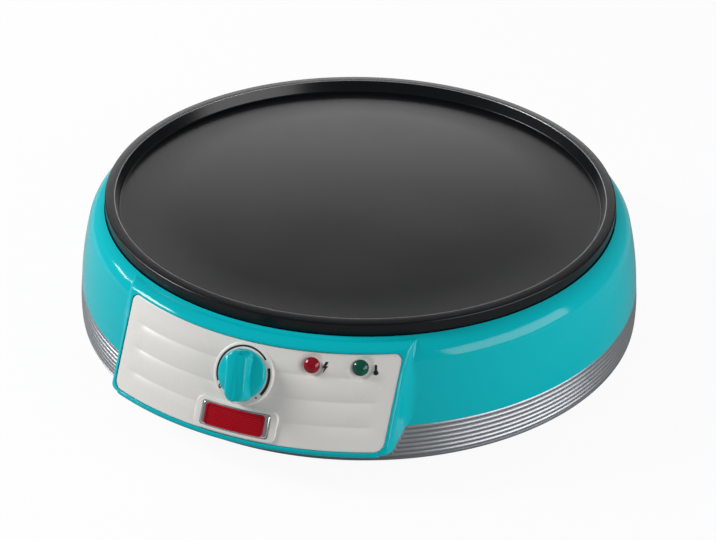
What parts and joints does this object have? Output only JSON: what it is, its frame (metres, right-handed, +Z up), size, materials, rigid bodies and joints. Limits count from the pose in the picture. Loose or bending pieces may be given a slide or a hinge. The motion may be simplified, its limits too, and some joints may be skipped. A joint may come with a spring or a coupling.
{
  "type": "electric crepe maker",
  "caption": "Round electric crepe maker: rimmed non-stick plate in a moulded housing on a ribbed base, with a leaning control fascia, turning thermostat knob and indicator lamps.",
  "frame": {"origin": "on the surface the feet stand on, under the middle of the whole object's box; the plate's own axis is 7.4 mm behind it (+Y)", "axes": "+Z up, control pod faces -Y, mains entry faces +Y, +X to the right as seen from the pod"},
  "size_m": [0.336, 0.3578, 0.08],
  "materials": {
    "plate": "black non-stick coating on die-cast aluminium",
    "turquoise": "gloss turquoise ABS",
    "silver": "silver metallic paint on ABS",
    "cream": "gloss cream ABS",
    "rubber": "soft black rubber",
    "steel": "zinc-plated steel",
    "sheath": "annealed stainless sheath",
    "reflector": "aluminised steel sheet",
    "ceramic": "unglazed steatite",
    "brass": "brass",
    "copper": "copper tube",
    "red_lens": "clear red polycarbonate",
    "green_lens": "clear green polycarbonate",
    "glass": "neon lamp glass",
    "nylon": "natural nylon",
    "chrome": "bright chrome plating",
    "badge_red": "red ABS with fine ribs",
    "phenolic": "brown-black phenolic",
    "wire_brown": "brown silicone insulation",
    "wire_blue": "blue silicone insulation",
    "wire_earth": "green and yellow insulation",
    "wire_white": "white glass-fibre sleeve"
  },
  "bodies": {
    "housing": {"cooking_plate": "plate", "upper_housing": "turquoise", "base_tray": "silver", "rubber_feet": "rubber", "housing_screws": "steel", "heating_element": "sheath", "element_insulators": "ceramic", "element_terminals": "steel", "element_clamps": "steel", "element_clamp_screws": "steel", "heat_reflector": "reflector", "plate_brackets": "steel", "plate_screws": "steel", "control_fascia": "cream", "fascia_screws": "steel", "power_lens": "red_lens", "ready_lens": "green_lens", "neon_lamps": "glass", "lamp_holders": "nylon", "badge_frame": "chrome", "badge_plate": "badge_red", "thermostat_bush": "brass", "thermostat_bracket": "steel", "thermostat_screws": "steel", "thermostat_case": "phenolic", "thermostat_tabs": "brass", "capillary_tube": "copper", "sensor_bulb": "copper", "sensor_clip": "steel", "sensor_screw": "steel", "thermal_fuse": "steel", "fuse_clip": "steel", "terminal_block": "nylon", "terminal_screws": "brass", "block_screw": "steel", "cord_gland": "rubber", "earth_tag": "brass", "earth_screw": "steel", "lamp_leads": "wire_white", "wire_live": "wire_brown", "wire_switched": "wire_white", "wire_neutral": "wire_blue", "wire_fuse": "wire_white", "wire_earth": "wire_earth"},
    "knob": {"thermostat_knob": "turquoise", "thermostat_spindle": "steel", "knob_spring_clip": "steel", "thermostat_plunger": "brass"}
  },
  "joints": [
    {"name": "knob_turn", "type": "hinge", "parent": "housing", "child": "knob", "pos_m": [0, -0.16044, 0.0533], "axis": [0, -0.8695, 0.4939], "range_deg": [-146, 120]}
  ]
}
